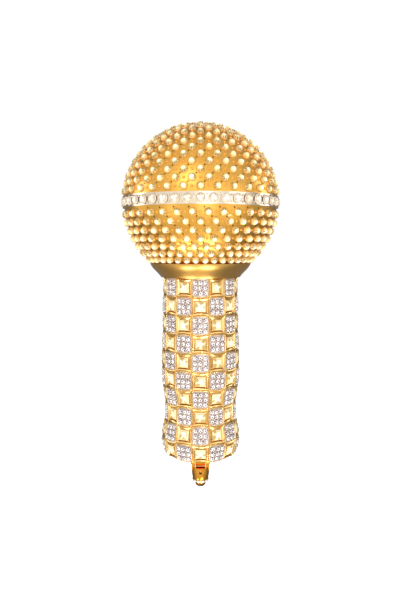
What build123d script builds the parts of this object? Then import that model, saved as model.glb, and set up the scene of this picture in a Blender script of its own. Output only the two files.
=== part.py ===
from build123d import *
import os
from math import asin, cos, degrees, pi, radians, sin, sqrt, tan

# Karaoke microphone: a stone-covered ball head on a checkerboard stone grip, with a small drop
# that swings below the tail. Millimetres. The origin is on the long axis at the middle of the
# grip, +Z runs up to the head, and the front faces -Y.

# --- Driving dimensions ----------------------------------------------------------------------
# Ball head
ball_r = 38.0  # over the grille stones
stone_h = 1.5  # a grille stone, from the grille out
stone_r = 1.7
stone_table_r = 0.9
stone_girdle_h = 0.45
grille_wall = 0.9
upper_row_pitch = 5.9  # degrees of latitude
upper_first_row = 7.9
upper_rows = 14
upper_stone_pitch = 7.6  # along a row
lower_first_row = -9.2
lower_row_counts = (34, 34, 34, 34, 38, 38, 38)
lower_margin = 7.9  # degrees from the last row's middle down to the open foot
pin_hole_r = 0.38
belt_h = 5.3
belt_proud = 0.8  # how far the channel's walls stand out of the grille
belt_floor_proud = 0.3
belt_wall = 0.35
belt_depth = 1.6  # from the channel's floor in to the foam side
belt_stones = 42
belt_stone_r, belt_table_r = 2.25, 1.35
foam_gap = 0.3
foam_wall = 4.0

# Neck: everything below the ball is placed down from the ball's centre
neck_over = 5.7  # how far the ball's open foot stands out past the body tube
rim_in, rim_h = 2.0, 0.8  # the grille's rolled foot, in from its opening
head_flange_in, head_flange_h = 1.2, 1.2
head_bore_in = 1.9  # the head ring's bore, in from the body tube
skirt_wall = 1.2
skirt_h = 6.8
thread_pitch = 1.5
thread_gap = 0.2
gasket_h = 0.8
gasket_w = 2.4
bush_flange_in, bush_flange_h = 3.0, 1.0  # in from the ball's opening
bush_wall = 0.95
bush_grip = 3.0  # how far the bush reaches down over the body tube
collar_h = 5.6  # from the grip up to the ball's open foot
collar_lip_rise, collar_lip_w = 1.2, 1.6  # the lip cups the ball
collar_foot_out = 1.4  # out from the sleeve
collar_shape = [(1, 1), (0.72, 0.62), (0.2, 0.2), (0, 0)]  # shares of its flare and height
collar_clear = 0.2

# Grip
grip_len = 86.8
sleeve_wall = 2.5  # the sleeve's wall at its widest, under the tiles
grip_shape = [(0, -0.8), (0.36, 0), (0.59, 0), (0.79, -1.1), (0.93, 0.4), (1, -1.4)]
grip_columns, grip_rows = 14, 10
tile_seam = 0.35
tile_seat = 0.5  # depth of a tile's pocket at its middle
pave_rise = 0.5  # a stone-set tile's face, above the sleeve
pave_corner_r = 1.1
pave_edge = 0.4
pave_side = 3  # stones along each side of a tile
pave_pitch_max = 2.45
pave_stone_h = 0.6
pave_stone_share = 0.47  # a stone's radius as a share of its pitch
bezel_rise = 0.35
bezel_floor = 0.2
bezel_flare = 2.0  # how much taller the window is at the face
square_side = 5.1
square_gap = 0.1
square_h = 0.85
square_crown = 0.45
tube_r = 15.3
tube_wall = 1.2
slide_gap = 0.1  # sleeve over tube, and other sliding fits

# Rear controls
control_column, control_rows = 7, (2, 3, 4)
plate_w = 7.8
plate_face = 1.1  # how far its face stands out of the sleeve
plate_seat_in = 0.4  # depth of the flat it sits on
plate_corner_r = 1.2
window_w = 5.4
window_margin = 2.3
screw_inset = 1.15
control_screw_r, control_head_r = 0.45, 0.8
socket_w, socket_t, socket_len = 8.94, 3.26, 7.35
socket_wall = 0.3
socket_drop = 5.4  # below the plate's middle
socket_recess = 0.3
tongue_w, tongue_t, tongue_len = 6.7, 0.7, 5.0
lens_r, lens_collar_r, lens_collar_h, lens_up = 1.0, 1.4, 0.8, 1.0
led_w, led_h, led_t = 1.6, 1.0, 1.2
switch_up = 6.4
knob_w, knob_len, knob_proud, knob_lift = 2.8, 3.4, 0.8, 0.7
knob_travel = 3.0
knob_gap = 0.2
rib_w, rib_step = 0.4, 1.0
switch_w, switch_end, channel_depth = 4.0, 0.5, 1.6
switch_gap = 0.3
foot_w, foot_len = 1.8, 3.0

# Inside the grip
battery_r, battery_len, battery_low, battery_gap = 9.2, 65.0, 7.4, 0.3
button_r, button_h = 3.0, 1.0
contact_r, contact_t = 4.0, 1.0
chassis_plate = 2.0
chassis_gap = 0.1
rail_w, rail_below, rail_above = 1.0, 1.1, 1.4  # below and above the board's front
board_t, board_gap, board_end_gap = 1.2, 1.4, 1.5
control_board_in, control_board_t, control_board_w = 5.0, 1.2, 9.0
module_w, module_h, module_t = 12.0, 7.0, 2.0
link_w, link_h, link_end = 6.0, 3.0, 0.5
chips, chip_t = [(-12, 5), (-24, 7)], 1.0  # each chip's height up the grip, and its side
stem_r, stem_bore_r = 6.0, 3.5
capsule_r, capsule_h, capsule_edge = 11.0, 14.0, 0.8
vent_r, vent_ring_r, vents, vent_depth, middle_vent_r = 0.9, 6.0, 8, 2.0, 1.4
cup_wall, cup_floor, cup_h = 1.5, 2.0, 8.0
lead_r, lead_x, lead_y = 0.45, 1.25, 2.2
plug_w, plug_h = 6.0, 2.4

# Tail
tail_plate_h, tail_plate_over = 2.0, 0.4  # how far the plate's edge reaches past the tube
tail_screw_r, tail_head_r, tail_screw_len = 0.8, 1.6, 3.6
tail_screw_pcd = 22.0
lug_flange_r, lug_flange_h = 3.6, 1.0
lug_w, lug_r = 4.8, 1.9
stud_r, nut_flats, nut_h, nut_gap = 1.5, 5.5, 2.4, 1.2
pin_drop = 5.9  # from the tail down to the hinge pin
pin_r, pin_gap, pin_head_r, pin_head_h = 0.7, 0.05, 1.2, 0.5
drop_r = 4.4
drop_arm_r = 2.2
drop_arm_gap = 0.2
drop_waist = 3.5  # from the pin down to the egg's widest height
drop_egg_h = 9.2  # from there down to the egg's full tip
drop_shoulder = 1.7  # from the pin down to the egg's flat top
drop_tip_cut = 0.9
eye_r, eye_drop, eye_flat_r, eye_flat_in = 0.9, 4.1, 1.5, 0.35
drop_stones_n, drop_stone_r, drop_stone_h, drop_stone_drop = 12, 0.85, 0.5, 8.7
tip_stone_r, tip_stone_h = 1.3, 1.2

# --- Worked-out places -----------------------------------------------------------------------
grip_top, grip_foot = grip_len / 2, -grip_len / 2
grip_r = tube_r + sleeve_wall
tube_bore_r = tube_r - tube_wall
sleeve_bore_r = tube_r + slide_gap
grille_r = ball_r - stone_h
neck_open_r = tube_r + neck_over
ball_cut = sqrt(grille_r**2 - neck_open_r**2)
ball_z = grip_top + collar_h + ball_cut
rim_r = neck_open_r - rim_in
head_flange_r = neck_open_r - head_flange_in
head_bore_r = tube_r - head_bore_in
bush_flange_r = neck_open_r - bush_flange_in
lip_bore_r = sqrt(grille_r**2 - (ball_cut - collar_lip_rise) ** 2) + collar_clear
collar_lip_r = lip_bore_r + collar_lip_w
collar_foot_r = grip_r + collar_foot_out
skirt_r = head_bore_r + skirt_wall
bush_bore_r = skirt_r + thread_gap
bush_r = bush_bore_r + bush_wall
flange_z = ball_z - ball_cut - head_flange_h
gasket_z = flange_z - gasket_h
bush_z = gasket_z - bush_flange_h
skirt_z = flange_z - skirt_h
tube_top = skirt_z - thread_pitch
tube_foot = grip_foot + tail_plate_h
pin_z = grip_foot - pin_drop
chassis_r = tube_bore_r - chassis_gap
battery_y = battery_r + battery_gap - tube_bore_r
board_y = battery_y + battery_r + board_gap
board_back_y = board_y + board_t
rail_low_y, rail_high_y = board_y - rail_below, board_y + rail_above
board_w = 2 * (sqrt(chassis_r**2 - rail_high_y**2) - rail_w)
plate_seat_y = tube_r - plate_seat_in
control_board_y = plate_seat_y - control_board_in

grip_points = [(grip_r + out, grip_top - share * grip_len) for share, out in grip_shape]
with BuildLine(Plane.XZ) as grip_line:
    Spline(*grip_points)
grip_edge = grip_line.edge()
cell_h = grip_edge.length / grip_rows
tile_h = cell_h - tile_seam


def turned(location, angle):
    """A location turned about the long axis; 0 is the front and 90 is the +X side."""
    return Location((0, 0, 0), (0, 0, angle - 90)) * location


def ball_seat(latitude, angle, radius):
    """A place on the ball, its z outwards."""
    out = Vector(cos(radians(latitude)), 0, sin(radians(latitude)))
    seat = Plane(Vector(0, 0, ball_z) + out * radius, x_dir=(0, 1, 0), z_dir=out)
    return turned(seat.location, angle)


def staggered(rows, shift=0):
    """(latitude, angle) along rows of (latitude, count), every other row half a pitch round."""
    return [
        (latitude, 360 * (n + row % 2 / 2 + shift) / count)
        for row, (latitude, count) in enumerate(rows)
        for n in range(count)
    ]


def row_seat(row, sink=0):
    """A grip row's middle, faced outwards, sunk below the sleeve, at angle 0."""
    length = (row + 0.5) * cell_h
    at = grip_edge.position_at(length, PositionMode.LENGTH)
    down = grip_edge.tangent_at(length, PositionMode.LENGTH)
    out = Vector(-down.Z, 0, down.X)
    return Plane(at - out * sink, x_dir=(0, 1, 0), z_dir=out)


def cells(row, pave, sink=0):
    """The row's cells that hold a stone-set tile, or else a square stone's bezel."""
    seat = row_seat(row, sink)
    return [
        turned(seat.location, 360 * column / grip_columns)
        for column in range(grip_columns)
        if ((column + row) % 2 == 0) == pave
        and not (column == control_column and row in control_rows)
    ]


def tile_w(row):
    """The widest tile that leaves a seam beside its neighbours at its narrower end."""
    seat = row_seat(row, tile_seat)
    lean = abs(seat.z_dir.Z) * tile_h / 2
    return 2 * (seat.origin.X - lean) * tan(pi / grip_columns) - tile_seam


def gem(radius, height, table, girdle):
    """A round brilliant's outline, flat back down: girdle band, crown and table."""
    with BuildPart() as made:
        with BuildSketch(Plane.XZ):
            with BuildLine():
                Polyline((0, 0), (radius, 0), (radius, girdle), (table, height), (0, height), close=True)
            make_face()
        revolve(axis=Axis.Z)
    return made.part


def stud(radius, height, table):
    """A small round stone as a plain cone with a table."""
    with BuildPart() as made:
        Cone(radius, table, height, align=(Align.CENTER, Align.CENTER, Align.MIN))
    return made.part


def rings(*sizes):
    """A turned piece from (inner radius, outer radius, low z, high z) bands."""
    with BuildPart() as made:
        with BuildSketch(Plane.XZ):
            for inner, outer, low, high in sizes:
                with Locations((inner, low)):
                    Rectangle(outer - inner, high - low, align=(Align.MIN, Align.MIN))
        revolve(axis=Axis.Z)
    return made.part


def flush_screw(radius, head, length):
    """A countersunk screw, its head's face at z 0 and its shank up +Z."""
    with BuildPart() as made:
        with BuildSketch(Plane.XZ):
            with BuildLine():
                Polyline(
                    (0, 0), (head, 0), (radius, head - radius), (radius, length), (0, length),
                    close=True,
                )
            make_face()
        revolve(axis=Axis.Z)
    return made.part


def block(x, y, z):
    """A box from its low and high ends along each axis."""
    (x0, x1), (y0, y1), (z0, z1) = x, y, z
    with BuildPart() as made:
        with Locations(((x0 + x1) / 2, (y0 + y1) / 2, (z0 + z1) / 2)):
            Box(x1 - x0, y1 - y0, z1 - z0)
    return made.part


def save(piece, name):
    piece.label = name
    export_step(piece, f"parts/{name}.step")


os.makedirs("parts", exist_ok=True)

# --- Ball head -------------------------------------------------------------------------------
# Two perforated half grilles meet in the belt channel. Stones sit on them in staggered rows.
upper_row_list = []
for row in range(upper_rows):
    row_latitude = upper_first_row + row * upper_row_pitch
    row_count = round(2 * pi * ball_r * cos(radians(row_latitude)) / upper_stone_pitch)
    upper_row_list.append((row_latitude, row_count))
lower_last_row = lower_margin - degrees(asin(ball_cut / grille_r))
lower_row_pitch = (lower_first_row - lower_last_row) / (len(lower_row_counts) - 1)
lower_row_list = [
    (lower_first_row - row * lower_row_pitch, count) for row, count in enumerate(lower_row_counts)
]

with BuildPart() as upper_grille:
    with BuildSketch(Plane.XZ):
        with Locations((0, ball_z)):
            Circle(grille_r)
            Circle(grille_r - grille_wall, mode=Mode.SUBTRACT)
        with Locations((0, ball_z + belt_h / 2)):
            Rectangle(grille_r, grille_r, align=(Align.MIN, Align.MIN), mode=Mode.INTERSECT)
    revolve(axis=Axis.Z)
    holes = staggered(upper_row_list[:-1], 0.25)
    with Locations(*[ball_seat(a + upper_row_pitch / 2, b, grille_r) for a, b in holes]):
        Cylinder(pin_hole_r, 4 * grille_wall, mode=Mode.SUBTRACT)
save(upper_grille.part, "upper_grille")

with BuildPart() as lower_grille:
    with BuildSketch(Plane.XZ):
        with Locations((0, ball_z)):
            Circle(grille_r)
            Circle(grille_r - grille_wall, mode=Mode.SUBTRACT)
        with Locations((0, ball_z - ball_cut)):
            Rectangle(grille_r, ball_cut - belt_h / 2, align=(Align.MIN, Align.MIN), mode=Mode.INTERSECT)
        rim_out = sqrt((grille_r - grille_wall / 2) ** 2 - ball_cut**2)
        with Locations((rim_r, ball_z - ball_cut)):
            Rectangle(rim_out - rim_r, rim_h, align=(Align.MIN, Align.MIN))
    revolve(axis=Axis.Z)
    holes = staggered(lower_row_list, 0.25)
    with Locations(*[ball_seat(a + lower_row_pitch / 2, b, grille_r) for a, b in holes]):
        Cylinder(pin_hole_r, 4 * grille_wall, mode=Mode.SUBTRACT)
save(lower_grille.part, "lower_grille")

grille_gem = gem(stone_r, stone_h, stone_table_r, stone_girdle_h)
with BuildPart() as upper_grille_stones:
    with Locations(*[ball_seat(a, b, grille_r) for a, b in staggered(upper_row_list) + [(90, 0)]]):
        add(grille_gem)
save(upper_grille_stones.part, "upper_grille_stones")

with BuildPart() as lower_grille_stones:
    with Locations(*[ball_seat(a, b, grille_r) for a, b in staggered(lower_row_list, 0.5)]):
        add(grille_gem)
save(lower_grille_stones.part, "lower_grille_stones")

# The belt channel joins the halves and carries one row of larger stones.
belt_floor_r = grille_r + belt_floor_proud
belt_side = belt_h / 2 - belt_wall
belt_inner_r = belt_floor_r - belt_depth
belt_channel = rings(
    (belt_inner_r, belt_floor_r, ball_z - belt_h / 2, ball_z + belt_h / 2),
    (belt_floor_r, grille_r + belt_proud, ball_z + belt_side, ball_z + belt_h / 2),
    (belt_floor_r, grille_r + belt_proud, ball_z - belt_h / 2, ball_z - belt_side),
)
save(belt_channel, "belt_channel")

belt_gem = gem(belt_stone_r, ball_r - belt_floor_r, belt_table_r, stone_girdle_h)
with BuildPart() as belt_stone_row:
    with Locations(*[ball_seat(0, 360 * n / belt_stones, belt_floor_r) for n in range(belt_stones)]):
        add(belt_gem)
save(belt_stone_row.part, "belt_stones")

# The foam ball rests on the lower grille's rolled edge and clears the microphone capsule.
foam_r = grille_r - grille_wall - foam_gap
foam_low = ball_z - ball_cut + rim_h
with BuildPart() as foam_liner:
    with BuildSketch(Plane.XZ):
        with Locations((0, ball_z)):
            Circle(foam_r)
            Circle(foam_r - foam_wall, mode=Mode.SUBTRACT)
        with Locations((0, foam_low)):
            Rectangle(foam_r, 2 * foam_r, align=(Align.MIN, Align.MIN), mode=Mode.INTERSECT)
    revolve(axis=Axis.Z)
    with Locations((0, 0, foam_low)):
        Cylinder(head_bore_r, foam_wall, mode=Mode.SUBTRACT)
    with BuildSketch(Plane.XZ):
        with Locations((foam_r, ball_z)):
            Rectangle(2 * (foam_r - belt_inner_r + foam_gap), belt_h + foam_gap)
    revolve(axis=Axis.Z, mode=Mode.SUBTRACT)
save(foam_liner.part, "foam_liner")

# The head ring closes the ball and screws into the neck bush.
head_ring = rings(
    (head_bore_r, head_flange_r, flange_z, flange_z + head_flange_h),
    (head_bore_r, skirt_r, skirt_z, flange_z),
)
save(head_ring, "head_ring")
save(rings((bush_flange_r - gasket_w, bush_flange_r, gasket_z, flange_z)), "neck_gasket")

# --- Neck ------------------------------------------------------------------------------------
neck_bush = rings(
    (bush_bore_r, bush_flange_r, bush_z, gasket_z),
    (bush_bore_r, bush_r, tube_top, bush_z),
    (tube_r + slide_gap / 2, bush_r, tube_top - bush_grip, tube_top),
)
save(neck_bush, "neck_bush")

# The collar is a smooth flare from the grip out to the ball.
with BuildPart() as collar:
    with BuildSketch(Plane.XZ):
        with BuildLine():
            flare, rise = collar_lip_r - collar_foot_r, collar_h + collar_lip_rise
            outside = [(collar_foot_r + out * flare, grip_top + up * rise) for out, up in collar_shape]
            Spline(*outside)
            Polyline(
                outside[-1],
                (bush_r + slide_gap, grip_top),
                (bush_r + slide_gap, bush_z),
                (bush_flange_r + collar_clear, bush_z),
                (bush_flange_r + collar_clear, gasket_z),
                (head_flange_r + collar_clear, flange_z - collar_clear),
                (neck_open_r + collar_clear, ball_z - ball_cut),
                (lip_bore_r, grip_top + rise),
                outside[0],
            )
        make_face()
    revolve(axis=Axis.Z)
save(collar.part, "collar")

# --- Grip ------------------------------------------------------------------------------------
plate_mid_z = row_seat(control_rows[1]).origin.Z
plate_h = len(control_rows) * cell_h - tile_seam - slide_gap
plate_face_y = grip_r + plate_face
plate_low, plate_high = plate_mid_z - plate_h / 2, plate_mid_z + plate_h / 2
tail_plate_r = tube_r + tail_plate_over

with BuildPart() as grip_sleeve:
    with BuildSketch(Plane.XZ):
        with BuildLine():
            Spline(*grip_points)
            Polyline(
                grip_points[-1],
                (tail_plate_r + slide_gap / 2, grip_foot),
                (tail_plate_r + slide_gap / 2, tube_foot),
                (sleeve_bore_r, tube_foot),
                (sleeve_bore_r, tube_top - bush_grip - slide_gap),
                (bush_r + slide_gap, tube_top - bush_grip - slide_gap),
                (bush_r + slide_gap, grip_top),
                grip_points[0],
            )
        make_face()
    revolve(axis=Axis.Z)
    for row in range(grip_rows):
        pocket_w = tile_w(row) + slide_gap
        pocket_h = tile_h + slide_gap
        with Locations(*(cells(row, True, tile_seat) + cells(row, False, tile_seat))):
            Box(
                pocket_w, pocket_h, 3 * tile_seat,
                align=(Align.CENTER, Align.CENTER, Align.MIN), mode=Mode.SUBTRACT,
            )
    with Locations((0, (plate_seat_y + plate_face_y) / 2, plate_mid_z)):
        Box(plate_w + slide_gap, plate_face_y, plate_h + slide_gap, mode=Mode.SUBTRACT)
save(grip_sleeve.part, "grip_sleeve")


def pave_tile(width):
    """A cushion-edged tile, its back at z 0."""
    with BuildPart() as made:
        with BuildSketch():
            RectangleRounded(width, tile_h, pave_corner_r)
        extrude(amount=tile_seat + pave_rise)
        chamfer(made.faces().sort_by(Axis.Z)[-1].edges(), pave_edge)
    return made.part


def square_bezel(width):
    """A plate with a tapered square window down to a thin floor, its back at z 0."""
    height = tile_seat + bezel_rise
    window = square_side + square_gap
    with BuildPart() as made:
        Box(width, tile_h, height, align=(Align.CENTER, Align.CENTER, Align.MIN))
        with BuildSketch(Plane.XY.offset(bezel_floor)):
            Rectangle(window, window)
        with BuildSketch(Plane.XY.offset(height)):
            Rectangle(width - tile_seam, window + bezel_flare)
        loft(mode=Mode.SUBTRACT)
    return made.part


tiles = [pave_tile(tile_w(row)) for row in range(grip_rows)]
bezels = [square_bezel(tile_w(row)) for row in range(grip_rows)]
with BuildPart() as pave_tiles:
    for row in range(grip_rows):
        with Locations(*cells(row, True, tile_seat)):
            add(tiles[row])
save(pave_tiles.part, "pave_tiles")

with BuildPart() as square_bezels:
    for row in range(grip_rows):
        with Locations(*cells(row, False, tile_seat)):
            add(bezels[row])
save(square_bezels.part, "square_bezels")

pave_pitches = [min((tile_w(row) - pave_edge) / pave_side, pave_pitch_max) for row in range(grip_rows)]
pave_gems = [
    stud(pave_stone_share * pitch, pave_stone_h, pave_stone_share * pitch / 2) for pitch in pave_pitches
]
with BuildPart() as pave_stones:
    for row, pitch in enumerate(pave_pitches):
        for cell in cells(row, True, -pave_rise):
            with Locations(cell):
                with GridLocations(pitch, pave_pitch_max, pave_side, pave_side):
                    add(pave_gems[row])
save(pave_stones.part, "pave_stones")

with BuildPart() as square_gem:
    Box(square_side, square_side, square_h, align=(Align.CENTER, Align.CENTER, Align.MIN))
    chamfer(square_gem.faces().sort_by(Axis.Z)[-1].edges(), square_crown)
with BuildPart() as square_stones:
    for row in range(grip_rows):
        with Locations(*cells(row, False, tile_seat - bezel_floor)):
            add(square_gem.part)
save(square_stones.part, "square_stones")

# The body tube carries the sleeve. Its rear is milled flat as a seat for the control plate.
window_low, window_high = plate_low + window_margin, plate_high - window_margin
screw_places = [(0, plate_seat_y, z) for z in (plate_low + screw_inset, plate_high - screw_inset)]
tube_blank = rings((tube_bore_r, tube_r, tube_foot, tube_top))
plate_flat = block(
    (-tube_r, tube_r), (plate_seat_y, 2 * tube_r), (plate_low - slide_gap, plate_high + slide_gap)
)
tube_window = block((-window_w / 2, window_w / 2), (0, 2 * tube_r), (window_low, window_high))
with BuildPart() as body_tube:
    add(tube_blank)
    add(plate_flat, mode=Mode.SUBTRACT)
    add(tube_window, mode=Mode.SUBTRACT)
    for place in screw_places:
        with Locations(Plane(place, z_dir=(0, 1, 0)).location):
            Cylinder(control_screw_r, 4 * tube_wall, mode=Mode.SUBTRACT)
save(body_tube.part, "body_tube")

# --- Rear controls ---------------------------------------------------------------------------
socket_z = plate_mid_z - socket_drop
lens_z = plate_mid_z + lens_up
slot_len = knob_len + knob_travel + 2 * knob_gap
slot_low = plate_mid_z + switch_up - slot_len / 2
knob_low = slot_low + knob_gap
board_face_y = control_board_y + control_board_t
socket_mouth_y = plate_face_y - socket_recess
socket_back_y = socket_mouth_y - socket_len


def facing_rear(z, y=0.0, x=0.0):
    """A plane that faces +Y with its x along the grip."""
    return Plane((x, y, z), x_dir=(0, 0, 1), z_dir=(0, 1, 0))


with BuildPart() as control_plate:
    with BuildSketch(facing_rear(plate_mid_z, plate_seat_y)):
        RectangleRounded(plate_h, plate_w, plate_corner_r)
    extrude(amount=plate_face_y - plate_seat_y)
    chamfer(control_plate.faces().sort_by(Axis.Y)[-1].edges(), 0.3)
    with BuildSketch(facing_rear(socket_z)):
        SlotOverall(socket_w + 2 * slide_gap, socket_t + 2 * slide_gap)
    extrude(amount=2 * plate_face_y, mode=Mode.SUBTRACT)
    with BuildSketch(facing_rear(slot_low + slot_len / 2)):
        Rectangle(slot_len, knob_w + 2 * knob_gap)
    extrude(amount=2 * plate_face_y, mode=Mode.SUBTRACT)
    with Locations(Plane((0, plate_face_y, lens_z), z_dir=(0, 1, 0)).location):
        Hole(lens_r)
    for x, y, z in screw_places:
        with Locations(Plane((x, plate_face_y, z), z_dir=(0, 1, 0)).location):
            CounterSinkHole(control_screw_r, control_head_r)
save(control_plate.part, "control_plate")

control_screw = flush_screw(
    control_screw_r, control_head_r, plate_face_y - plate_seat_y + tube_wall / 2
)
with BuildPart() as control_screws:
    for x, y, z in screw_places:
        with Locations(Plane((x, plate_face_y, z), z_dir=(0, -1, 0)).location):
            add(control_screw)
save(control_screws.part, "control_screws")

with BuildPart() as charging_socket:
    with BuildSketch(facing_rear(socket_z, socket_back_y)):
        SlotOverall(socket_w, socket_t)
    extrude(amount=socket_len)
    with BuildSketch(facing_rear(socket_z, socket_back_y + 1.0)):
        SlotOverall(socket_w - 2 * socket_wall, socket_t - 2 * socket_wall)
    extrude(amount=socket_len, mode=Mode.SUBTRACT)
    with BuildSketch(facing_rear(socket_z, socket_back_y + 0.5)):
        Rectangle(tongue_w, tongue_t)
    extrude(amount=tongue_len + 0.5)
save(charging_socket.part, "charging_socket")

with BuildPart() as status_lens:
    with Locations(Plane((0, board_face_y + led_t, lens_z), z_dir=(0, 1, 0)).location):
        Cylinder(
            lens_r, plate_face_y + slide_gap - board_face_y - led_t,
            align=(Align.CENTER, Align.CENTER, Align.MIN),
        )
    with Locations(Plane((0, plate_seat_y, lens_z), z_dir=(0, 1, 0)).location):
        Cylinder(lens_collar_r, lens_collar_h, align=(Align.CENTER, Align.CENTER, Align.MAX))
save(status_lens.part, "status_lens")
status_led = block(
    (-led_w / 2, led_w / 2), (board_face_y, board_face_y + led_t), (lens_z - led_h / 2, lens_z + led_h / 2)
)
save(status_led, "status_led")

# The slide switch: its body stands on the control board and the slider runs in its channel.
switch_front_y = plate_seat_y - switch_gap
channel_y = switch_front_y - channel_depth
foot_low = knob_low + (knob_len - foot_len) / 2
switch_shell = block(
    (-switch_w / 2, switch_w / 2), (board_face_y, switch_front_y),
    (slot_low - switch_end, slot_low + slot_len + switch_end),
)
channel = block(
    (-foot_w / 2 - slide_gap, foot_w / 2 + slide_gap), (channel_y, plate_seat_y),
    (foot_low - knob_gap, foot_low + foot_len + knob_travel + knob_gap),
)
with BuildPart() as switch_body:
    add(switch_shell)
    add(channel, mode=Mode.SUBTRACT)
save(switch_body.part, "switch_body")

knob_low_y, knob_face_y = plate_seat_y + knob_lift, plate_face_y + knob_proud
slider_foot = block(
    (-foot_w / 2, foot_w / 2), (channel_y + slide_gap, knob_face_y - rib_w), (foot_low, foot_low + foot_len)
)
knob = block((-knob_w / 2, knob_w / 2), (knob_low_y, knob_face_y), (knob_low, knob_low + knob_len))
with BuildPart() as power_slider:
    add(slider_foot)
    add(knob)
    chamfer(power_slider.edges().filter_by(Axis.Z).group_by(Axis.Y)[-1], knob_gap)
    for step in (-rib_step, 0, rib_step):
        with Locations((0, knob_face_y, knob_low + knob_len / 2 + step)):
            Box(knob_w, rib_w, rib_w, mode=Mode.SUBTRACT)
save(power_slider.part, "power_slider")

control_board_z = (plate_low - 1, plate_high + 1)
save(
    block((-control_board_w / 2, control_board_w / 2), (control_board_y, board_face_y), control_board_z),
    "control_board",
)
# A spacer lifts the socket to the plate's face.
save(
    block((-2, 2), (board_face_y, socket_back_y), (socket_z - socket_w / 2, socket_z + socket_w / 2)),
    "socket_spacer",
)

# --- Inside the grip -------------------------------------------------------------------------
battery_z = grip_foot + battery_low
battery_top = battery_z + battery_len
contact_top = battery_top + button_h + contact_t
chassis_top, chassis_foot = tube_top, tube_foot
rails = [
    block(sorted((side * board_w / 2, side * (board_w / 2 + rail_w))), (rail_low_y, rail_high_y),
          (chassis_foot, chassis_top))
    for side in (-1, 1)
]
with BuildPart() as chassis:
    with BuildSketch(Plane.XY.offset(chassis_foot)):
        Circle(chassis_r)
        Circle(nut_flats / 2 + nut_gap, mode=Mode.SUBTRACT)
        with PolarLocations(tail_screw_pcd / 2, 3, start_angle=90):
            Circle(tail_screw_r, mode=Mode.SUBTRACT)
    extrude(amount=2 * chassis_plate)
    with BuildSketch(Plane.XY.offset(contact_top)):
        Circle(chassis_r)
        with Locations((0, rail_low_y)):
            Rectangle(2 * chassis_r, chassis_r, align=(Align.CENTER, Align.MIN), mode=Mode.SUBTRACT)
    extrude(amount=chassis_plate)
    with BuildSketch(Plane.XY.offset(chassis_top - chassis_plate)):
        Circle(chassis_r)
        Circle(stem_bore_r, mode=Mode.SUBTRACT)
    extrude(amount=chassis_plate)
    for rail in rails:
        add(rail)
save(chassis.part, "chassis")

with BuildPart() as battery_cell:
    with Locations((0, battery_y, battery_z)):
        Cylinder(battery_r, battery_len, align=(Align.CENTER, Align.CENTER, Align.MIN))
    with Locations((0, battery_y, battery_top)):
        Cylinder(button_r, button_h, align=(Align.CENTER, Align.CENTER, Align.MIN))
save(battery_cell.part, "battery_cell")

spring_low = chassis_foot + 2 * chassis_plate
with BuildPart() as battery_contacts:
    with Locations((0, battery_y, battery_top + button_h)):
        Cylinder(contact_r, contact_t, align=(Align.CENTER, Align.CENTER, Align.MIN))
    with Locations((0, battery_y, spring_low)):
        Cone(
            contact_r, button_r, battery_z - spring_low, align=(Align.CENTER, Align.CENTER, Align.MIN)
        )
save(battery_contacts.part, "battery_contacts")

board_z = (spring_low + board_end_gap, chassis_top - chassis_plate - board_end_gap)
save(block((-board_w / 2, board_w / 2), (board_y, board_back_y), board_z), "main_board")
save(
    block(
        (-module_w / 2, module_w / 2), (board_back_y, board_back_y + module_t),
        (board_z[1] - 1 - module_h, board_z[1] - 1),
    ),
    "radio_module",
)
links = [
    block((-link_w / 2, link_w / 2), (board_back_y, control_board_y), (low, low + link_h))
    for low in (control_board_z[0] + link_end, control_board_z[1] - link_end - link_h)
]
with BuildPart() as board_links:
    add(links)
save(board_links.part, "board_links")
chip_blocks = [
    block((-side / 2, side / 2), (board_back_y, board_back_y + chip_t), (z - side / 2, z + side / 2))
    for z, side in chips
]
with BuildPart() as board_chips:
    add(chip_blocks)
save(board_chips.part, "board_chips")

# --- Microphone capsule ----------------------------------------------------------------------
capsule_z = ball_z - capsule_h
cup_z = capsule_z - cup_floor
save(rings((stem_bore_r, stem_r, chassis_top, cup_z)), "capsule_stem")
capsule_mount = rings(
    (stem_bore_r, capsule_r + cup_wall, cup_z, capsule_z),
    (capsule_r, capsule_r + cup_wall, capsule_z, cup_z + cup_h),
)
save(capsule_mount, "capsule_mount")
with BuildPart() as capsule:
    with Locations((0, 0, capsule_z)):
        Cylinder(capsule_r, capsule_h, align=(Align.CENTER, Align.CENTER, Align.MIN))
    chamfer(capsule.faces().sort_by(Axis.Z)[-1].edges(), capsule_edge)
    with Locations((0, 0, ball_z)):
        with PolarLocations(vent_ring_r, vents):
            Cylinder(vent_r, vent_depth, mode=Mode.SUBTRACT)
        Cylinder(middle_vent_r, vent_depth, mode=Mode.SUBTRACT)
save(capsule.part, "capsule")

plug_top = board_z[1] - 0.5
with BuildPart() as capsule_leads:
    with Locations((-lead_x, lead_y, plug_top), (lead_x, lead_y, plug_top)):
        Cylinder(lead_r, capsule_z - plug_top, align=(Align.CENTER, Align.CENTER, Align.MIN))
save(capsule_leads.part, "capsule_leads")
save(
    block((-plug_w / 2, plug_w / 2), (lead_y - 1, board_y), (plug_top - plug_h, plug_top)),
    "capsule_plug",
)

# --- Tail ------------------------------------------------------------------------------------
tail_screw = flush_screw(tail_screw_r, tail_head_r, tail_screw_len)
with BuildPart() as tail_plate:
    with BuildSketch(Plane.XY.offset(grip_foot)):
        Circle(tail_plate_r)
        Circle(stud_r, mode=Mode.SUBTRACT)
    extrude(amount=tail_plate_h)
    with Locations((0, 0, grip_foot)):
        with PolarLocations(tail_screw_pcd / 2, 3, start_angle=90):
            add(tail_screw, mode=Mode.SUBTRACT)
save(tail_plate.part, "tail_plate")

with BuildPart() as tail_screws:
    with Locations((0, 0, grip_foot)):
        with PolarLocations(tail_screw_pcd / 2, 3, start_angle=90):
            add(tail_screw)
save(tail_screws.part, "tail_screws")

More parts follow.
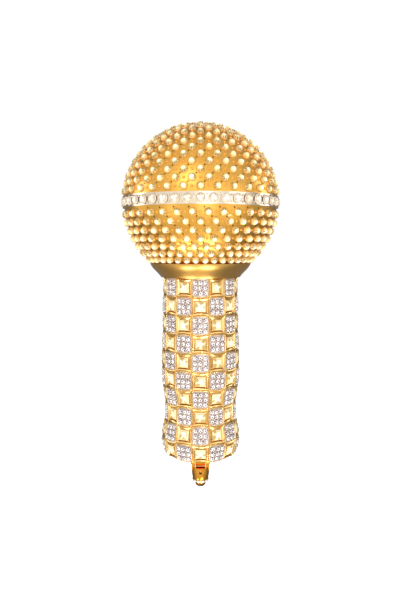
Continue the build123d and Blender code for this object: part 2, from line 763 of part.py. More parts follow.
# The lug's stud runs up through the tail plate to a nut. Its tongue carries the hinge pin.
tongue = block((-lug_w / 2, lug_w / 2), (-lug_r, lug_r), (pin_z, grip_foot - lug_flange_h))
with BuildPart() as tail_lug:
    with Locations((0, 0, grip_foot)):
        Cylinder(lug_flange_r, lug_flange_h, align=(Align.CENTER, Align.CENTER, Align.MAX))
        Cylinder(stud_r, tail_plate_h + nut_h, align=(Align.CENTER, Align.CENTER, Align.MIN))
    add(tongue)
    with Locations(Plane((0, 0, pin_z), z_dir=(1, 0, 0)).location):
        Cylinder(lug_r, lug_w)
        Cylinder(pin_r, 2 * lug_w, mode=Mode.SUBTRACT)
save(tail_lug.part, "tail_lug")

with BuildPart() as lug_nut:
    with BuildSketch(Plane.XY.offset(tube_foot)):
        RegularPolygon(nut_flats / 2, 6, major_radius=False)
        Circle(stud_r, mode=Mode.SUBTRACT)
    extrude(amount=nut_h)
save(lug_nut.part, "lug_nut")

pin_half = drop_r + pin_gap
with BuildPart() as hinge_pin:
    with Locations(Plane((0, 0, pin_z), z_dir=(1, 0, 0)).location):
        Cylinder(pin_r, 2 * pin_half)
        with Locations((0, 0, pin_half + pin_head_h / 2), (0, 0, -pin_half - pin_head_h / 2)):
            Cylinder(pin_head_r, pin_head_h)
save(hinge_pin.part, "hinge_pin")

# The drop: an egg with two arms that straddle the tongue, and a strap eye through its shoulder.
egg_z = pin_z - drop_waist
tip_z = egg_z - drop_egg_h + drop_tip_cut


def egg_radius(z):
    """The egg's radius at a height below its waist."""
    return drop_r * sqrt(1 - ((egg_z - z) / drop_egg_h) ** 2)


slot_half = lug_w / 2 + drop_arm_gap
arms = block((-drop_r, drop_r), (-drop_arm_r, drop_arm_r), (egg_z, pin_z))
tongue_slot = block(
    (-slot_half, slot_half), (-drop_r, drop_r), (pin_z - lug_r - drop_arm_gap, grip_foot)
)
with BuildPart() as drop_body:
    with BuildSketch(Plane.XZ):
        with Locations((0, egg_z)):
            Ellipse(drop_r, drop_egg_h)
        with Locations((0, tip_z)):
            Rectangle(
                drop_r, pin_z - drop_shoulder - tip_z, align=(Align.MIN, Align.MIN), mode=Mode.INTERSECT
            )
    revolve(axis=Axis.Z)
    add(arms)
    with Locations(Plane((0, 0, pin_z), z_dir=(1, 0, 0)).location):
        Cylinder(drop_arm_r, 2 * drop_r)
    add(tongue_slot, mode=Mode.SUBTRACT)
    with Locations(Plane((0, 0, pin_z), z_dir=(1, 0, 0)).location):
        Cylinder(pin_r + pin_gap, 3 * drop_r, mode=Mode.SUBTRACT)
    eye_z = pin_z - eye_drop
    for side in (-1, 1):
        with Locations(Plane((0, side * (drop_r - eye_flat_in), eye_z), z_dir=(0, side, 0)).location):
            Cylinder(
                eye_flat_r, drop_r, align=(Align.CENTER, Align.CENTER, Align.MIN), mode=Mode.SUBTRACT
            )
    with Locations(Plane((0, 0, eye_z), z_dir=(0, 1, 0)).location):
        Cylinder(eye_r, 3 * drop_r, mode=Mode.SUBTRACT)
save(drop_body.part, "drop_body")

ring_z = pin_z - drop_stone_drop
ring_r = egg_radius(ring_z)
ring_slope = Vector(ring_r / drop_r**2, 0, (ring_z - egg_z) / drop_egg_h**2).normalized()
drop_gem = stud(drop_stone_r, drop_stone_h, drop_stone_r / 2)
ring_seat = Plane((ring_r, 0, ring_z), x_dir=(0, 1, 0), z_dir=ring_slope).location
with BuildPart() as drop_stones:
    with Locations(*[turned(ring_seat, 360 * (n + 0.5) / drop_stones_n) for n in range(drop_stones_n)]):
        add(drop_gem)
save(drop_stones.part, "drop_stones")

with BuildPart() as drop_tip_stone:
    with Locations((0, 0, tip_z)):
        Cone(
            tip_stone_r / 3, tip_stone_r, tip_stone_h, align=(Align.CENTER, Align.CENTER, Align.MAX)
        )
save(drop_tip_stone.part, "drop_tip_stone")
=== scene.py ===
import math

import bpy
import numpy as np
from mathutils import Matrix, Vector


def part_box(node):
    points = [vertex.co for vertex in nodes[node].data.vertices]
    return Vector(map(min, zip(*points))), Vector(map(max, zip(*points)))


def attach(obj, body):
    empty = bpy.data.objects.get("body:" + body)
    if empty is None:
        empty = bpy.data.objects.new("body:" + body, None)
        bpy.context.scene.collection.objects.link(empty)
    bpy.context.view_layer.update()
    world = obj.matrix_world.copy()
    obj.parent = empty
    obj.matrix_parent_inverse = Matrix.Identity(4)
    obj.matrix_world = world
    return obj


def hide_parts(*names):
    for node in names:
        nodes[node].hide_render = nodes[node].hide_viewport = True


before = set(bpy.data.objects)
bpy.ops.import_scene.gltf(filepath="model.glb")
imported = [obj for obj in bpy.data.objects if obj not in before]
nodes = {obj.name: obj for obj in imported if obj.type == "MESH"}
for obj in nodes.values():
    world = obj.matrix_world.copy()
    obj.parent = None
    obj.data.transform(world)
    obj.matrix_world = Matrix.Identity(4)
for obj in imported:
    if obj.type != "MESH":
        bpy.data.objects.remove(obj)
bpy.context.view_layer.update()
mm = 0.001

# --- Studio ----------------------------------------------------------------------------------
# A pale floor far below, a white surround, and soft light from the front and above. The surround
# falls off behind and below the object, so that polished gold keeps a darker edge.
belt_low, belt_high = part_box("belt_channel")
ball = (belt_low + belt_high) / 2

camera = bpy.data.objects.new("camera", bpy.data.cameras.new("camera"))
camera.data.sensor_width = 36
camera.data.lens = 37.4
camera.data.clip_start = 0.01
eye_drop, eye_back, look_down = 20.2 * mm, 303.9 * mm, math.radians(5.06)
camera.location = ball - Vector((0, eye_back, eye_drop))
camera.rotation_euler = (math.pi / 2 - look_down, 0, 0)
bpy.context.scene.collection.objects.link(camera)
bpy.context.scene.camera = camera
bpy.context.scene.view_settings.view_transform = "Standard"


def linear(hex_colour):
    """An sRGB hex value as linear RGBA."""
    parts = [int(hex_colour[i : i + 2], 16) / 255 for i in (1, 3, 5)]
    return [p / 12.92 if p <= 0.04045 else ((p + 0.055) / 1.055) ** 2.4 for p in parts] + [1.0]


def add_node(tree, kind, inputs=None, **settings):
    """Adds a node with its settings. An input is a value, or another node's output to link."""
    new = tree.nodes.new(kind)
    for key, value in settings.items():
        setattr(new, key, value)
    for key, value in (inputs or {}).items():
        if isinstance(value, bpy.types.NodeSocket):
            tree.links.new(value, new.inputs[key])
        else:
            new.inputs[key].default_value = value
    return new


surround = bpy.data.worlds.new("studio_surround")
bpy.context.scene.world = surround
surround.use_nodes = True
sky = surround.node_tree
sky.nodes.clear()
heading = add_node(sky, "ShaderNodeTexCoord")
towards_key = add_node(
    sky,
    "ShaderNodeVectorMath",
    {0: heading.outputs["Generated"], 1: (-0.1, -0.93, 0.35)},
    operation="DOT_PRODUCT",
)
glow = add_node(
    sky,
    "ShaderNodeMapRange",
    {
        "Value": towards_key.outputs["Value"],
        "From Min": -0.55,
        "From Max": 0.75,
        "To Min": 0.22,
        "To Max": 1.02,
    },
    interpolation_type="SMOOTHSTEP",
)
soft_sky = add_node(sky, "ShaderNodeBackground", {"Strength": glow.outputs["Result"]})
white_sky = add_node(sky, "ShaderNodeBackground", {"Color": (1, 1, 1, 1), "Strength": 1.0})
soft_sky.inputs["Color"].default_value = linear("#FFFDF9")
seen = add_node(sky, "ShaderNodeLightPath")
both = add_node(
    sky,
    "ShaderNodeMixShader",
    {0: seen.outputs["Is Camera Ray"], 1: soft_sky.outputs[0], 2: white_sky.outputs[0]},
)
add_node(sky, "ShaderNodeOutputWorld", {"Surface": both.outputs[0]})


aim_height = 0.03


def softbox(name, place, size, watts):
    """A square lamp at a place in metres, aimed at the object."""
    lamp = bpy.data.lights.new(name, "AREA")
    lamp.size, lamp.energy = size, watts
    made = bpy.data.objects.new(name, lamp)
    made.location = place
    aim = Vector((0, 0, aim_height)) - Vector(place)
    made.rotation_euler = aim.to_track_quat("-Z", "Y").to_euler()
    bpy.context.scene.collection.objects.link(made)


softbox("key_softbox", (-0.25, -0.75, 0.6), 0.35, 1.1)
softbox("fill_softbox", (0.7, -0.5, 0.15), 0.4, 0.4)
softbox("left_strip", (-0.75, 0.1, 0.2), 0.3, 0.8)
softbox("right_strip", (0.75, 0.2, 0.25), 0.3, 0.9)
softbox("rear_softbox", (0.15, 0.9, 0.45), 0.5, 2.0)
softbox("collar_left", (-0.14, -0.13, -0.33), 0.12, 0.3)
softbox("collar_right", (0.08, -0.18, -0.33), 0.16, 0.5)
softbox("front_softbox", (0.12, -0.75, -0.02), 0.3, 0.45)
glints = [
    (-0.35, -0.6, 0.35),
    (0.3, -0.65, 0.3),
    (0.05, -0.8, 0.22),
    (0.5, -0.5, -0.15),
    (-0.5, -0.55, -0.1),
]
glint_size, glint_watts = 0.03, 0.12
for number, place in enumerate(glints):
    softbox(f"glint_{number}", place, glint_size, glint_watts)


def add_mesh(name, verts, faces):
    """A new object in the scene, with a mesh of these corners and faces."""
    mesh = bpy.data.meshes.new(name)
    mesh.from_pydata(verts, [], faces)
    made = bpy.data.objects.new(name, mesh)
    bpy.context.scene.collection.objects.link(made)
    return made


floor_z, floor_half = -0.35, 3.0
corners = [(-1, -1), (1, -1), (1, 1), (-1, 1)]
floor = add_mesh("floor", [(x * floor_half, y * floor_half, floor_z) for x, y in corners], [(0, 1, 2, 3)])
floor.visible_glossy = False
floor_paint = bpy.data.materials.new("white_sweep")
floor_paint.use_nodes = True
white = floor_paint.node_tree.nodes["Principled BSDF"]
white.inputs["Base Color"].default_value = linear("#F2F2F2")
white.inputs["Emission Color"].default_value = (1, 1, 1, 1)
white.inputs["Emission Strength"].default_value = 0.9
floor.data.materials.append(floor_paint)


# --- Ball grille -----------------------------------------------------------------------------
# Two pierced half balls, pressed from brass sheet, gold plated and satin polished. Plate wears a
# little redder and duller in soft patches, and the polishing leaves a very fine grain.
def plated(name, low, high, rough_low, rough_high, patch, grain, depth, metallic=1.0, lacquer=0.0):
    """A surface that drifts between two colours and two roughnesses over patches, with a fine
    grain of some depth (all three in metres). A metallic of 0 makes a plain one."""
    made = bpy.data.materials.new(name)
    made.use_nodes = True
    tree = made.node_tree
    shader = tree.nodes["Principled BSDF"]
    shader.inputs["Metallic"].default_value = metallic
    shader.inputs["Coat Weight"].default_value = lacquer
    shader.inputs["Coat Roughness"].default_value = 0.06
    at = add_node(tree, "ShaderNodeTexCoord")
    drift = add_node(
        tree, "ShaderNodeTexNoise", {"Vector": at.outputs["Object"], "Scale": 1 / patch, "Detail": 3.0}
    )
    mix = add_node(
        tree,
        "ShaderNodeMix",
        {0: drift.outputs["Fac"], 6: linear(low), 7: linear(high)},
        data_type="RGBA",
    )
    rough = add_node(
        tree,
        "ShaderNodeMapRange",
        {
            "Value": drift.outputs["Fac"],
            "From Min": 0.3,
            "From Max": 0.7,
            "To Min": rough_high,
            "To Max": rough_low,
        },
    )
    fine = add_node(
        tree, "ShaderNodeTexNoise", {"Vector": at.outputs["Object"], "Scale": 1 / grain, "Detail": 2.0}
    )
    bump = add_node(
        tree, "ShaderNodeBump", {"Height": fine.outputs["Fac"], "Distance": depth, "Strength": 0.5}
    )
    tree.links.new(mix.outputs[2], shader.inputs["Base Color"])
    tree.links.new(rough.outputs["Result"], shader.inputs["Roughness"])
    tree.links.new(bump.outputs["Normal"], shader.inputs["Normal"])
    return made


def dress(material, *names):
    """Gives CAD nodes their finish."""
    for name in names:
        nodes[name].data.materials.clear()
        nodes[name].data.materials.append(material)


satin_gold = plated(
    "satin_gold_plate", "#DC9C38", "#EFBC5C", 0.28, 0.38, 9 * mm, 0.5 * mm, 0.01 * mm, lacquer=0.3
)
dress(satin_gold, "upper_grille", "lower_grille")

grille_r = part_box("upper_grille")[1].z - ball.z
upper_first, upper_pitch, upper_rows, along_row = 7.9, 5.9, 14, 7.6 * mm
lower_first, lower_pitch, lower_counts = -9.2, 6.3, (34, 34, 34, 34, 38, 38, 38)
stone_top_r = grille_r + 1.5 * mm
upper = []
for row in range(upper_rows):
    latitude = upper_first + row * upper_pitch
    around = 2 * math.pi * stone_top_r * math.cos(math.radians(latitude))
    upper.append((latitude, round(around / along_row)))
lower = [(lower_first - row * lower_pitch, count) for row, count in enumerate(lower_counts)]


def heading_at(turn):
    """Directions outwards and along, level, at a turn round the axis from the front."""
    return Vector((math.sin(turn), -math.cos(turn), 0)), Vector((math.cos(turn), math.sin(turn), 0))


def ball_seats(rows, shift=0.0):
    """(place, outwards, along) on the ball along staggered rows of (latitude, count)."""
    made = []
    for row, (latitude, count) in enumerate(rows):
        for n in range(count):
            turn = 2 * math.pi * (n + row % 2 / 2 + shift) / count
            tilt = math.radians(latitude)
            level_out, along = heading_at(turn)
            out = level_out * math.cos(tilt) + Vector((0, 0, math.sin(tilt)))
            made.append((ball + out * grille_r, out, along))
    return made


def setting_tree():
    """Sets a piece on every point, its Z outwards and its X along, with a random tint each."""
    tree = bpy.data.node_groups.new("set_on_seats", "GeometryNodeTree")
    for name, kind in (
        ("Seats", "NodeSocketGeometry"),
        ("Piece", "NodeSocketObject"),
        ("Size Spread", "NodeSocketFloat"),
        ("Seed", "NodeSocketInt"),
        ("Finish", "NodeSocketMaterial"),
    ):
        tree.interface.new_socket(name, in_out="INPUT", socket_type=kind)
    tree.interface.new_socket("Set", in_out="OUTPUT", socket_type="NodeSocketGeometry")
    given = add_node(tree, "NodeGroupInput")
    facing = add_node(
        tree, "GeometryNodeInputNamedAttribute", {"Name": "facing"}, data_type="FLOAT_VECTOR"
    )
    along = add_node(tree, "GeometryNodeInputNamedAttribute", {"Name": "along"}, data_type="FLOAT_VECTOR")
    upright = add_node(
        tree, "FunctionNodeAlignRotationToVector", {"Vector": facing.outputs["Attribute"]}, axis="Z"
    )
    turned = add_node(
        tree,
        "FunctionNodeAlignRotationToVector",
        {"Rotation": upright.outputs["Rotation"], "Vector": along.outputs["Attribute"]},
        axis="X",
        pivot_axis="Z",
    )
    smallest = add_node(
        tree, "ShaderNodeMath", {0: 1.0, 1: given.outputs["Size Spread"]}, operation="SUBTRACT"
    )
    size = add_node(
        tree,
        "FunctionNodeRandomValue",
        {2: smallest.outputs[0], 3: 1.0, "Seed": given.outputs["Seed"]},
        data_type="FLOAT",
    )
    piece = add_node(tree, "GeometryNodeObjectInfo", {"Object": given.outputs["Piece"]})
    put = add_node(
        tree,
        "GeometryNodeInstanceOnPoints",
        {
            "Points": given.outputs["Seats"],
            "Instance": piece.outputs["Geometry"],
            "Rotation": turned.outputs["Rotation"],
            "Scale": size.outputs[1],
        },
    )
    tint = add_node(tree, "FunctionNodeRandomValue", {"Seed": given.outputs["Seed"]}, data_type="FLOAT")
    kept = add_node(
        tree,
        "GeometryNodeStoreNamedAttribute",
        {"Geometry": put.outputs["Instances"], "Name": "tint", "Value": tint.outputs[1]},
        data_type="FLOAT",
        domain="INSTANCE",
    )
    real = add_node(tree, "GeometryNodeRealizeInstances", {"Geometry": kept.outputs["Geometry"]})
    coat = add_node(
        tree,
        "GeometryNodeSetMaterial",
        {"Geometry": real.outputs["Geometry"], "Material": given.outputs["Finish"]},
    )
    add_node(tree, "NodeGroupOutput", {"Set": coat.outputs["Geometry"]})
    return tree


set_on_seats = setting_tree()


def set_pieces(name, seats, piece, finish, body, seed=1, spread=0.0):
    """Sets a piece on each (place, outwards, along) and rides the result on a body."""
    points = bpy.data.meshes.new(name + "_seats")
    points.from_pydata([tuple(place) for place, _, _ in seats], [], [])
    for number, attribute in enumerate(("facing", "along"), 1):
        values = points.attributes.new(attribute, "FLOAT_VECTOR", "POINT")
        values.data.foreach_set("vector", [c for seat in seats for c in seat[number]])
    maker = bpy.data.objects.new(name + "_seats", points)
    bpy.context.scene.collection.objects.link(maker)
    modifier = maker.modifiers.new("set", "NODES")
    modifier.node_group = set_on_seats
    values = {"Piece": piece, "Size Spread": spread, "Seed": seed, "Finish": finish}
    for socket in set_on_seats.interface.items_tree:
        if socket.name in values:
            modifier[socket.identifier] = values[socket.name]
    bpy.context.view_layer.update()
    ready = maker.evaluated_get(bpy.context.evaluated_depsgraph_get())
    made = bpy.data.objects.new(name, bpy.data.meshes.new_from_object(ready))
    bpy.data.objects.remove(maker)
    bpy.data.objects.remove(piece)
    bpy.context.scene.collection.objects.link(made)
    for attribute in ("facing", "along"):
        if attribute in made.data.attributes:
            made.data.attributes.remove(made.data.attributes[attribute])
    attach(made, body)
    return made


def turned_piece(name, outline, sides):
    """A small turned piece from (radius, height) points in metres, smooth, with n sides."""
    verts, faces = [], []
    for radius, height in outline:
        for n in range(sides):
            a = 2 * math.pi * n / sides
            verts.append((radius * math.cos(a), radius * math.sin(a), height))
    for level in range(len(outline) - 1):
        for n in range(sides):
            a, b = level * sides + n, level * sides + (n + 1) % sides
            faces.append((a, b, b + sides, a + sides))
    top = (len(outline) - 1) * sides
    faces.append(tuple(range(top, top + sides)))
    faces.append(tuple(reversed(range(sides))))
    made = add_mesh(name, verts, faces)
    for face in made.data.polygons:
        face.use_smooth = True
    return made


# Raised beads stand between the stones, embossed in the sheet. Their gold is a brighter copy of the grille's
# gold, a painted highlight on each bead.
highlit_bead_gold = plated("embossed_gold_beads", "#FFB24A", "#FFC86A", 0.25, 0.35, 3 * mm, 0.3 * mm, 0.004 * mm)
bead_r, bead_h = 0.62 * mm, 0.5 * mm
bead_outline = [
    (bead_r, -0.2 * mm),
    (bead_r * 0.95, bead_h * 0.35),
    (bead_r * 0.72, bead_h * 0.75),
    (bead_r * 0.3, bead_h),
]
for name, rows in (("upper_grille_beads", upper[:-2]), ("lower_grille_beads", lower[:-2])):
    half = 0.5 if name.startswith("upper") else 0.0
    bead = turned_piece("bead", bead_outline, 8)
    set_pieces(name, ball_seats(rows, half), bead, highlit_bead_gold, "head")


# --- Grille stones ---------------------------------------------------------------------------
# Foil-backed round crystals in thin gold cups, glued in rows over the ball. The sparkle of the
# facets is painted into the stones' colour, as a star of painted highlight and painted shade in
# light and dark wedges round the culet. A stone's UV map is the view down on it, where its girdle
# is at 1 and the foot of its side at foot_share.
foot_share = 1.25


def round_stone(name, radius, height, table, girdle):
    """A round brilliant's crown in flat facets."""
    sides = 8
    low = [(radius, math.pi * n / sides, 0.0) for n in range(2 * sides)]
    band = [(radius, math.pi * n / sides, girdle) for n in range(2 * sides)]
    top = [(table, 2 * math.pi * n / sides, height) for n in range(sides)]
    verts = [(r * math.cos(a), r * math.sin(a), z) for r, a, z in low + band + top]
    n2 = 2 * sides
    faces = [(n, (n + 1) % n2, n2 + (n + 1) % n2, n2 + n) for n in range(n2)]
    for n in range(sides):
        here, after = 2 * n2 + n, 2 * n2 + (n + 1) % sides
        left, middle, right = n2 + 2 * n, n2 + 2 * n + 1, n2 + (2 * n + 2) % n2
        faces += [(here, left, middle), (here, middle, after), (after, middle, right)]
    faces += [tuple(range(2 * n2, 2 * n2 + sides)), tuple(reversed(range(n2)))]
    made = add_mesh(name, verts, faces)
    view_down = made.data.uv_layers.new(name="UVMap")
    for loop in made.data.loops:
        x, y, z = made.data.vertices[loop.vertex_index].co
        spread = (foot_share if z == 0 else 1.0) / radius
        view_down.data[loop.index].uv = (x * spread, y * spread)
    return made


def crystal(name, bands, shadow, blush, wedges, shade_from, shade_to, lobes=1, square=False):
    """Foil-backed crystal, with the light of its facets painted into the colour. The bands run from
    the culet to the foot of its side, as (share, colour): painted highlight in the pale bands and
    painted shade in the dark ones. Painted shadow wedges lie between two shares, and a blush differs
    from stone to stone. Two waves round the stone, of wedges and of lobes, make the wedges, turned
    by its own tint."""
    soft_edge = 0.06
    made = bpy.data.materials.new(name)
    made.use_nodes = True
    tree = made.node_tree
    shader = tree.nodes["Principled BSDF"]
    shader.inputs["Roughness"].default_value = 0.05
    shader.inputs["IOR"].default_value = 1.56
    uv = add_node(tree, "ShaderNodeUVMap", uv_map="UVMap")
    tint = add_node(tree, "ShaderNodeAttribute", attribute_name="tint")
    flat = add_node(tree, "ShaderNodeSeparateXYZ", {0: uv.outputs["UV"]})
    x, y = flat.outputs["X"], flat.outputs["Y"]
    turn = add_node(tree, "ShaderNodeMath", {0: y, 1: x}, operation="ARCTAN2")
    if square:
        across = add_node(tree, "ShaderNodeMath", {0: x}, operation="ABSOLUTE")
        upright = add_node(tree, "ShaderNodeMath", {0: y}, operation="ABSOLUTE")
        out = add_node(
            tree, "ShaderNodeMath", {0: across.outputs[0], 1: upright.outputs[0]}, operation="MAXIMUM"
        ).outputs[0]
    else:
        reach = add_node(tree, "ShaderNodeVectorMath", {0: uv.outputs["UV"]}, operation="LENGTH")
        out = reach.outputs["Value"]
    scaled = add_node(tree, "ShaderNodeMath", {0: out, 1: 1 / foot_share}, operation="MULTIPLY")
    ramp = add_node(tree, "ShaderNodeValToRGB", {"Fac": scaled.outputs[0]})
    stops = ramp.color_ramp.elements
    for share, colour in bands[1:-1]:
        stops.new(share / foot_share)
    for stop, (share, colour) in zip(stops, bands):
        stop.position, stop.color = share / foot_share, linear(colour)
    waves = []
    for count, drift in ((wedges, 40.0), (lobes, 97.0)):
        shift = add_node(tree, "ShaderNodeMath", {0: tint.outputs["Fac"], 1: drift}, operation="MULTIPLY")
        spun = add_node(
            tree,
            "ShaderNodeMath",
            {0: turn.outputs[0], 1: count, 2: shift.outputs[0]},
            operation="MULTIPLY_ADD",
        )
        waves.append(add_node(tree, "ShaderNodeMath", {0: spun.outputs[0]}, operation="SINE"))
    both_waves = add_node(
        tree, "ShaderNodeMath", {0: waves[0].outputs[0], 1: waves[1].outputs[0]}, operation="ADD"
    )
    # Painted shade over the facet wedges.
    painted_shade_facets = add_node(
        tree, "ShaderNodeMapRange", {"Value": both_waves.outputs[0], "From Min": 0.3, "From Max": 0.7}
    )
    inner = add_node(
        tree,
        "ShaderNodeMapRange",
        {"Value": out, "From Min": shade_from - soft_edge, "From Max": shade_from + soft_edge},
    )
    outer = add_node(
        tree,
        "ShaderNodeMapRange",
        {"Value": out, "From Min": shade_to + soft_edge, "From Max": shade_to - soft_edge},
    )
    ring = add_node(
        tree, "ShaderNodeMath", {0: inner.outputs["Result"], 1: outer.outputs["Result"]}, operation="MULTIPLY"
    )
    mask = add_node(
        tree, "ShaderNodeMath", {0: ring.outputs[0], 1: painted_shade_facets.outputs["Result"]}, operation="MULTIPLY"
    )
    shaded = add_node(
        tree,
        "ShaderNodeMix",
        {0: mask.outputs[0], 6: ramp.outputs["Color"], 7: linear(shadow)},
        data_type="RGBA",
    )
    blushing = add_node(tree, "ShaderNodeMapRange", {"Value": tint.outputs["Fac"], "To Max": 0.7})
    last = add_node(
        tree,
        "ShaderNodeMix",
        {0: blushing.outputs["Result"], 6: shaded.outputs[2], 7: linear(blush)},
        data_type="RGBA",
        blend_type="MULTIPLY",
    )
    tree.links.new(last.outputs[2], shader.inputs["Base Color"])
    return made


# Painted facet light: a white painted highlight in the middle fading to gold at the girdle, painted shade
# wedges, and a dark painted shade at the foot where the stone meets its cup.
champagne = crystal(
    "champagne_foiled_crystal",
    [(0, "#FFFFFA"), (0.36, "#FFFADC"), (0.6, "#F9EAB2"), (0.86, "#EACB80"), (1.0, "#C89A44"),
     (1.05, "#F2E2D0"), (1.18, "#DCC8B4"), (1.25, "#6E4A24")],
    "#7E6428", "#F8EAC4", 8, 0.5, 0.98,
)
cup_gold = plated("gold_stone_cups", "#DB9A38", "#F0B858", 0.2, 0.3, 4 * mm, 0.3 * mm, 0.004 * mm)
stone_r, stone_h, table_r, girdle_h = 1.7 * mm, 1.5 * mm, 0.95 * mm, 0.6 * mm
cup_outline = [
    (stone_r + 0.3 * mm, -0.15 * mm),
    (stone_r + 0.18 * mm, 0.14 * mm),
    (stone_r + 0.02 * mm, 0.2 * mm),
    (stone_r - 0.12 * mm, 0.1 * mm),
]
crown_seat = (ball + Vector((0, 0, grille_r)), Vector((0, 0, 1)), Vector((1, 0, 0)))
seats = {"upper": ball_seats(upper) + [crown_seat], "lower": ball_seats(lower, 0.5)}
for seed, (half, places) in enumerate(seats.items(), 3):
    cup = turned_piece("cup", cup_outline, 12)
    set_pieces(f"{half}_stone_cups", places, cup, cup_gold, "head")
    gem = round_stone("gem", stone_r, stone_h, table_r, girdle_h)
    stones = set_pieces(
        f"{half}_stones", places, gem, champagne, "head", seed=seed, spread=0.06
    )
    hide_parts(f"{half}_grille_stones")

# --- Belt ------------------------------------------------------------------------------------
# A rhodium-plated channel round the ball's middle, with one row of clear stones held by pairs of
# small beaded claws.
rhodium = plated("rhodium_plate", "#E6D8C4", "#F4EAD8", 0.16, 0.26, 6 * mm, 0.4 * mm, 0.005 * mm)
dress(rhodium, "belt_channel")
belt_count = 42
belt_floor_r = grille_r + 0.3 * mm
claw_level = 1.45 * mm
belt_seats = []
claw_seats = []
for n in range(belt_count):
    out, along = heading_at(2 * math.pi * n / belt_count)
    belt_seats.append((ball + out * belt_floor_r, out, along))
    out, along = heading_at(2 * math.pi * (n + 0.5) / belt_count)
    for level in (-claw_level, claw_level):
        claw_seats.append((ball + out * belt_floor_r + Vector((0, 0, level)), out, along))
# Painted facet light: a grey painted shade at the culet, a white painted highlight round it, dark painted
# shade rings near the girdle and at the foot, and painted shade wedges.
clear = crystal(
    "clear_foiled_crystal",
    [(0, "#C4B6AC"), (0.12, "#FFFCF4"), (0.5, "#FAF0E2"), (0.7, "#E0CDB8"), (0.8, "#8C7866"),
     (0.9, "#F2E6D2"), (1.0, "#B8A488"), (1.25, "#665544")],
    "#A8947E", "#F6E8D2", 8, 0.2, 0.7, lobes=3,
)
belt_gem = round_stone("gem", 2.28 * mm, 1.2 * mm, 1.3 * mm, 0.5 * mm)
belt_row = set_pieces("belt_stone_row", belt_seats, belt_gem, clear, "head", seed=7)
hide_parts("belt_stones")
claw_outline = [(0.5 * mm, 0), (0.48 * mm, 0.5 * mm), (0.36 * mm, 0.8 * mm), (0.14 * mm, 0.92 * mm)]
claw = turned_piece("claw", claw_outline, 8)
set_pieces("belt_claws", claw_seats, claw, rhodium, "head")

# --- Neck ------------------------------------------------------------------------------------
# The collar is spun brass, gold plated and buffed. Under it sit the turned brass bush
# and ring that screw together over a moulded rubber gasket.
buffed_gold = plated(
    "buffed_gold_plate", "#EDAE4C", "#FBCC76", 0.26, 0.36, 14 * mm, 1.2 * mm, 0.006 * mm, lacquer=0.3
)
dress(buffed_gold, "collar", "tail_plate", "control_plate")
turned_brass = plated("turned_brass", "#B98A3E", "#D1A65A", 0.25, 0.4, 5 * mm, 0.3 * mm, 0.01 * mm)
dress(turned_brass, "neck_bush", "head_ring", "lug_nut")
moulded_rubber = plated(
    "moulded_rubber", "#161617", "#232325", 0.6, 0.8, 4 * mm, 0.4 * mm, 0.03 * mm, metallic=0.0
)
dress(moulded_rubber, "neck_gasket", "capsule_mount")

# --- Grip tiles ------------------------------------------------------------------------------
# Cast cushions and sloped bezels, gold plated and polished, that fit edge to edge in a chequer
# over the sleeve. Cushions bulge, so the bezels between them draw in at their sides. Cells under
# the rear controls are left out. Sizes in this section are in mm.
grip_low, grip_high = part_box("grip_sleeve")
grip_widest = 17.8
grip_shape = [(0, -0.8), (0.36, 0), (0.59, 0), (0.79, -1.1), (0.93, 0.4), (1, -1.4)]
columns, rows = 14, 10
control_column, control_rows = 7, (2, 3, 4)
grip_length = (grip_high.z - grip_low.z) / mm
knots = np.array([(grip_widest + out, grip_high.z / mm - share * grip_length) for share, out in grip_shape])
steps = np.r_[0, np.cumsum(np.hypot(*np.diff(knots, axis=0).T))]


def natural_spline(at, values, where):
    """The natural cubic spline through values at the knots, read at where."""
    gaps = np.diff(at)
    count = len(at)
    system, right = np.eye(count), np.zeros(count)
    for n in range(1, count - 1):
        system[n, n - 1 : n + 2] = gaps[n - 1], 2 * (gaps[n - 1] + gaps[n]), gaps[n]
        right[n] = 6 * (
            (values[n + 1] - values[n]) / gaps[n] - (values[n] - values[n - 1]) / gaps[n - 1]
        )
    bend = np.linalg.solve(system, right)
    n = np.clip(np.searchsorted(at, where) - 1, 0, count - 2)
    after, before = where - at[n], at[n + 1] - where
    return (
        (bend[n] * before**3 + bend[n + 1] * after**3) / (6 * gaps[n])
        + (values[n] / gaps[n] - bend[n] * gaps[n] / 6) * before
        + (values[n + 1] / gaps[n] - bend[n + 1] * gaps[n] / 6) * after
    )


fine = np.linspace(0, steps[-1], 800)
line = np.stack([natural_spline(steps, knots[:, n], fine) for n in (0, 1)], 1)
walked = np.r_[0, np.cumsum(np.hypot(*np.diff(line, axis=0).T))]
slopes = np.gradient(line, walked, axis=0)


def on_grip(column, row, height):
    """A point of the sleeve in metres, with its outward direction and its direction round the
    grip. Column and row count in cells from the front and the top; height is in mm."""
    length = np.clip(row / rows, 0, 1) * walked[-1]
    r, z = (np.interp(length, walked, line[:, n]) for n in (0, 1))
    down_r, down_z = (np.interp(length, walked, slopes[:, n]) for n in (0, 1))
    turn = 2 * math.pi * column / columns
    round_out, along = heading_at(turn)
    out = (round_out * -down_z + Vector((0, 0, down_r))).normalized()
    place = round_out * r + Vector((0, 0, z)) + out * height
    return place * mm, out, along


def half_width(row):
    """Half a cell's width on the sleeve."""
    return math.pi * on_grip(0, row + 0.5, 0)[0].to_2d().length / mm / columns


def cell_list(cushion):
    """(column, row) of every cell that holds a cushion, or else a bezel."""
    return [
        (column, row)
        for row in range(rows)
        for column in range(columns)
        if ((column + row) % 2 == 0) == cushion
        and not (column == control_column and row in control_rows)
    ]


cell_h = walked[-1] / rows
# The last value is the level in mm below which tile faces take the dark painted shade.
bulge, seam, tile_floor, window, painted_shade_level = 0.06, 0.005, -0.45, 2.62, -0.2


def cushion_height(x, y, half_w):
    """Height over the sleeve inside a cushion: a steep side, a rolled rim and a flat stone bed."""
    edge = (abs(x) ** 12 + abs(y) ** 12) ** (1 / 12)
    return np.interp(edge, [0, 0.86, 0.9, 0.94, 0.98, 1.0], [0.5, 0.5, 0.76, 0.84, 0.7, 0.5])


